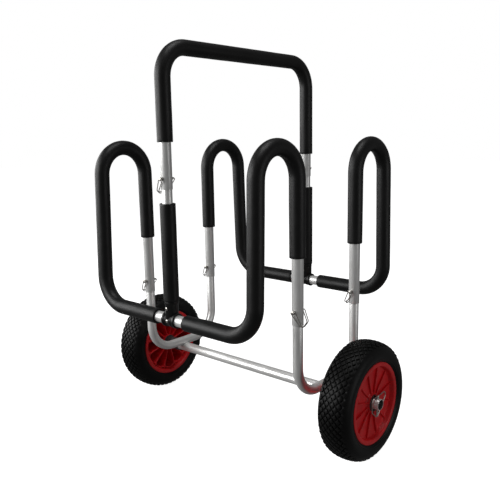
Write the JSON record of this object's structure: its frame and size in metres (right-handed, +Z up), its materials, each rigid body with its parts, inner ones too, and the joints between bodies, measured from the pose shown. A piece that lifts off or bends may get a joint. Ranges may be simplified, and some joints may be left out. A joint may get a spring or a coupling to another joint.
{
  "type": "paddleboard cart",
  "caption": "Two-wheeled cart with padded loop frames that hold paddleboards on edge either side of a tall padded handle.",
  "frame": {"origin": "on the floor, under the middle of the axle", "axes": "+X along the axle from the left wheel to the right wheel, +Y from the front tee to the rear tee, +Z up"},
  "size_m": [0.74, 0.5299, 0.8889],
  "materials": {
    "satin_aluminium": "satin anodised",
    "bright_aluminium": "plain drawn tube",
    "zinc_plated_steel": "zinc plated",
    "black_foam": "closed-cell foam with a smooth skin",
    "black_plastic": "moulded, satin",
    "black_tyre": "matte",
    "red_plastic": "moulded, semi-gloss",
    "grey_nylon": "moulded"
  },
  "bodies": {
    "frame": {"axle_tube": "bright_aluminium", "left_base": "satin_aluminium", "right_base": "satin_aluminium", "front_loop_frame": "satin_aluminium", "rear_loop_frame": "satin_aluminium", "front_post": "satin_aluminium", "rear_post": "satin_aluminium", "handle_tube": "satin_aluminium", "front_left_foam": "black_foam", "front_right_foam": "black_foam", "rear_left_foam": "black_foam", "rear_right_foam": "black_foam", "front_post_foam": "black_foam", "rear_post_foam": "black_foam", "handle_foam": "black_foam", "front_tee": "black_plastic", "rear_tee": "black_plastic", "front_lower_rivet": "zinc_plated_steel", "front_upper_rivet": "zinc_plated_steel", "rear_lower_rivet": "zinc_plated_steel", "rear_upper_rivet": "zinc_plated_steel", "left_outer_washer": "zinc_plated_steel", "left_inner_washer": "zinc_plated_steel", "right_outer_washer": "zinc_plated_steel", "right_inner_washer": "zinc_plated_steel", "left_wheel_spacer": "grey_nylon", "right_wheel_spacer": "grey_nylon", "front_left_leg_pin": "zinc_plated_steel", "front_right_leg_pin": "zinc_plated_steel", "rear_left_leg_pin": "zinc_plated_steel", "rear_right_leg_pin": "zinc_plated_steel", "front_handle_pin": "zinc_plated_steel", "rear_handle_pin": "zinc_plated_steel", "left_wheel_pin": "zinc_plated_steel", "right_wheel_pin": "zinc_plated_steel"},
    "left_wheel": {"left_tyre": "black_tyre", "left_rim": "red_plastic", "left_outer_bush": "grey_nylon", "left_inner_bush": "grey_nylon"},
    "right_wheel": {"right_tyre": "black_tyre", "right_rim": "red_plastic", "right_outer_bush": "grey_nylon", "right_inner_bush": "grey_nylon"},
    "front_left_leg_bail": {"front_left_leg_bail": "zinc_plated_steel"},
    "front_right_leg_bail": {"front_right_leg_bail": "zinc_plated_steel"},
    "rear_left_leg_bail": {"rear_left_leg_bail": "zinc_plated_steel"},
    "rear_right_leg_bail": {"rear_right_leg_bail": "zinc_plated_steel"},
    "front_handle_bail": {"front_handle_bail": "zinc_plated_steel"},
    "rear_handle_bail": {"rear_handle_bail": "zinc_plated_steel"},
    "left_wheel_bail": {"left_wheel_bail": "zinc_plated_steel"},
    "right_wheel_bail": {"right_wheel_bail": "zinc_plated_steel"}
  },
  "joints": [
    {"name": "left_wheel_spin", "type": "hinge", "parent": "frame", "child": "left_wheel", "pos_m": [-0.325, 0, 0.13], "axis": [1, 0, 0], "continuous": true},
    {"name": "right_wheel_spin", "type": "hinge", "parent": "frame", "child": "right_wheel", "pos_m": [0.325, 0, 0.13], "axis": [1, 0, 0], "continuous": true},
    {"name": "front_left_leg_bail_swing", "type": "hinge", "parent": "frame", "child": "front_left_leg_bail", "pos_m": [-0.235, -0.12531, 0.335], "axis": [-0.848, 0, 0.5299], "range_deg": [0, 180]},
    {"name": "front_right_leg_bail_swing", "type": "hinge", "parent": "frame", "child": "front_right_leg_bail", "pos_m": [0.235, -0.12531, 0.335], "axis": [-0.848, 0, -0.5299], "range_deg": [0, 180]},
    {"name": "rear_left_leg_bail_swing", "type": "hinge", "parent": "frame", "child": "rear_left_leg_bail", "pos_m": [-0.235, 0.09269, 0.335], "axis": [-0.848, 0, 0.5299], "range_deg": [0, 180]},
    {"name": "rear_right_leg_bail_swing", "type": "hinge", "parent": "frame", "child": "rear_right_leg_bail", "pos_m": [0.235, 0.09269, 0.335], "axis": [-0.848, 0, 0.5299], "range_deg": [0, 180]},
    {"name": "front_handle_bail_swing", "type": "hinge", "parent": "frame", "child": "front_handle_bail", "pos_m": [0, -0.26031, 0.608], "axis": [-0.848, 0, 0.5299], "range_deg": [0, 180]},
    {"name": "rear_handle_bail_swing", "type": "hinge", "parent": "frame", "child": "rear_handle_bail", "pos_m": [0, 0.22769, 0.608], "axis": [-0.848, 0, 0.5299], "range_deg": [0, 180]},
    {"name": "left_wheel_bail_swing", "type": "hinge", "parent": "frame", "child": "left_wheel_bail", "pos_m": [-0.3615, 0, 0.14605], "axis": [0, 1, 0], "range_deg": [0, 180]},
    {"name": "right_wheel_bail_swing", "type": "hinge", "parent": "frame", "child": "right_wheel_bail", "pos_m": [0.3615, 0, 0.14605], "axis": [0, -1, 0], "range_deg": [0, 180]}
  ]
}
